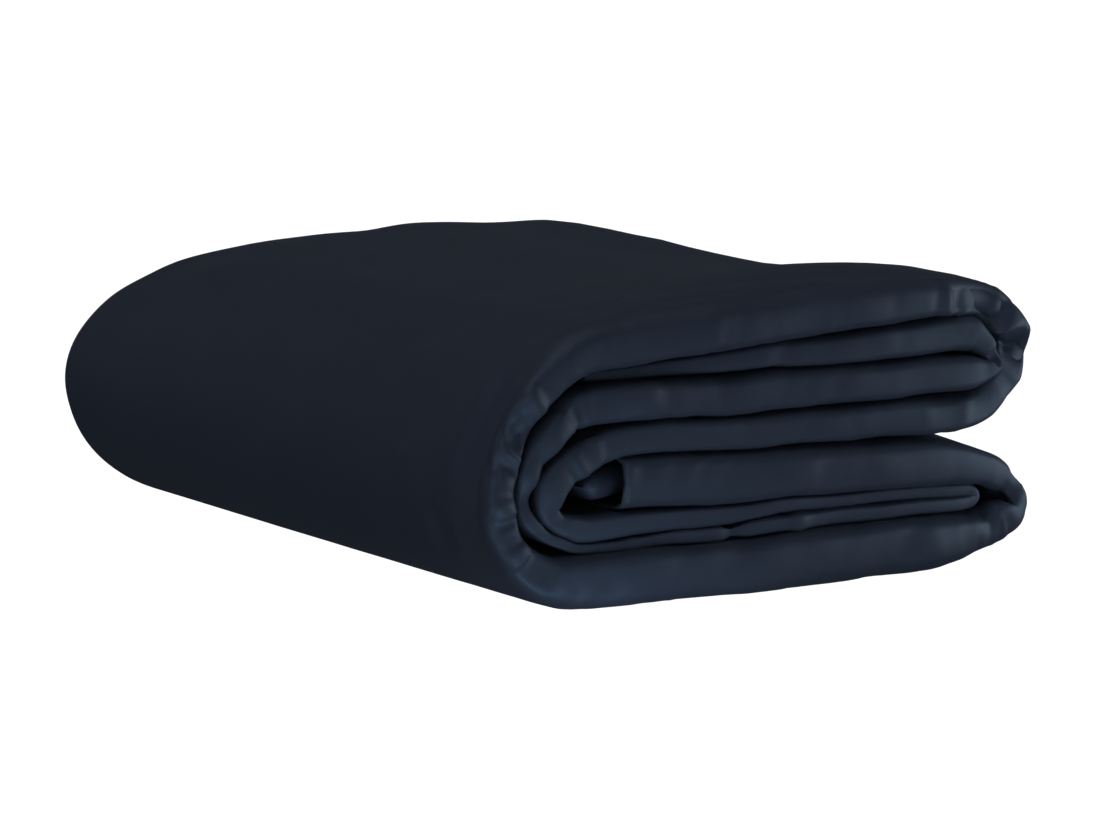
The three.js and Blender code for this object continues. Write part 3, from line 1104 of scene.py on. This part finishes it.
@dataclass
class Card:
    """A small, pale blue card that throws light on the bundle: its place, what it faces, side and power."""

    name: str
    place: Triple
    faces: Triple
    side: float
    power: float
    colour: Triple = (0.76, 0.89, 1.0)

    def build(self, cover: bpy.types.Object) -> None:
        """Set the card up, out of sight, so that it lights the cover alone."""
        data = bpy.data.lights.new(self.name, "AREA")
        data.size = self.side
        data.color = self.colour
        data.energy = self.power
        card = bpy.data.objects.new(self.name, data)
        card.location = self.place
        card.rotation_euler = (Vector(self.faces) - Vector(self.place)).to_track_quat("-Z", "Y").to_euler()
        card.visible_camera = False
        bpy.context.scene.collection.objects.link(card)
        light_alone(card, cover)


@dataclass
class Studio:
    """The plain pale floor, the soft light and the camera at the photograph's angle."""

    floor_side: float = 30.0
    floor_colour: Triple = (0.9, 0.9, 0.9)
    floor_roughness: float = 0.9
    sky: float = 0.03
    yaw_deg: float = 32.04
    pitch_deg: float = 8.26
    focal_px: float = 6000.0
    frame_width_px: float = 1100.0
    sensor: float = 36.0
    target: Triple = (0.005, 0.0, 0.0482)
    distance: float = 2.445

    def build_floor(self) -> bpy.types.Object:
        """Lay the floor just under the bundle.

        Returns:
            The floor, which doesn't throw its light back on the cloth.
        """
        plane = bmesh.new()
        bmesh.ops.create_grid(plane, x_segments=1, y_segments=1, size=self.floor_side / 2)
        mesh = bpy.data.meshes.new("floor")
        plane.to_mesh(mesh)
        plane.free()
        floor = bpy.data.objects.new("floor", mesh)
        bpy.context.scene.collection.objects.link(floor)
        material = bpy.data.materials.new("floor_white")
        material.use_nodes = True
        shader = material.node_tree.nodes["Principled BSDF"]
        shader.inputs["Base Color"].default_value = (*self.floor_colour, 1.0)
        shader.inputs["Roughness"].default_value = self.floor_roughness
        shader.inputs["Specular IOR Level"].default_value = 0.0
        mesh.materials.append(material)
        floor.visible_diffuse = False
        floor.visible_glossy = False
        return floor

    def build_light(self, cover: bpy.types.Object, floor: bpy.types.Object) -> None:
        """Light the cover from all round, low from the sides and from the floor before it, and the floor.

        Args:
            cover: The cover.
            floor: The floor.
        """
        world = bpy.data.worlds.new("studio")
        world.use_nodes = True
        background = world.node_tree.nodes["Background"]
        background.inputs["Color"].default_value = (1.0, 1.0, 1.0, 1.0)
        background.inputs["Strength"].default_value = self.sky
        bpy.context.scene.world = world
        Softlight("key_right", (2.0, -0.6, 0.1), 50.0, 0.85).build()
        Softlight("fill_left", (-1.8, -0.7, -0.8), 30.0, 1.5).build(only=cover)
        Softlight("fill_front", (-1.2, -1.6, 0.25), 30.0, 0.75).build(only=cover)
        Softlight("top", (-0.6, -0.3, 2.0), 60.0, 1.85).build(only=cover)
        Softlight("back", (0.2, 0.8, 2.4), 40.0, 0.25).build(only=cover)
        Softlight("fill_back", (0.4, 2.0, 0.2), 40.0, 1.8, gloss=False).build(only=cover)
        Softlight("fill_right", (2.0, 0.8, 0.1), 40.0, 1.1, gloss=False).build(only=cover)
        Softlight("bounce", (0.1, -1.7, -0.9), 40.0, 0.66).build(only=cover)
        Card("card_left", (-0.1, -0.27, -0.06), (-0.085, -0.17, 0.008), 0.09, 0.2).build(cover)
        Card("card_right", (0.31, -0.26, 0.06), (0.12, -0.165, 0.055), 0.14, 0.46).build(cover)
        Softlight("floor_wash", (0.0, 0.0, 2.0), 20.0, 3.7).build(only=floor)
        bpy.context.scene.view_settings.view_transform = "Standard"

    def build_camera(self) -> None:
        """Set the camera at the photograph's angle, with its long lens."""
        yaw, pitch = np.radians(self.yaw_deg), np.radians(self.pitch_deg)
        level = np.cos(pitch)
        forward = Vector((np.sin(yaw) * level, np.cos(yaw) * level, -np.sin(pitch)))
        data = bpy.data.cameras.new("camera")
        data.sensor_width = self.sensor
        data.lens = self.focal_px / self.frame_width_px * self.sensor
        camera = bpy.data.objects.new("camera", data)
        turn = forward.to_track_quat("-Z", "Y").to_matrix().to_4x4()
        camera.matrix_world = Matrix.Translation(Vector(self.target) - forward * self.distance) @ turn
        bpy.context.scene.collection.objects.link(camera)
        bpy.context.scene.camera = camera


def main() -> None:
    """Build the cover and its studio, and log the cover's face count and its length along the strip."""
    logging.basicConfig(level=logging.INFO, format="%(name)s: %(message)s")
    maker = FoldedCover()
    cover = maker.build()
    maker.dress(cover, Sateen())
    maker.declare(cover)
    LOG.info("%s: %d faces, %.0f mm along", cover.name, len(cover.data.polygons), maker.along[-1])
    studio = Studio()
    studio.build_light(cover, studio.build_floor())
    studio.build_camera()
    LOG.info("studio: floor, light and camera")


if __name__ == "__main__":
    main()
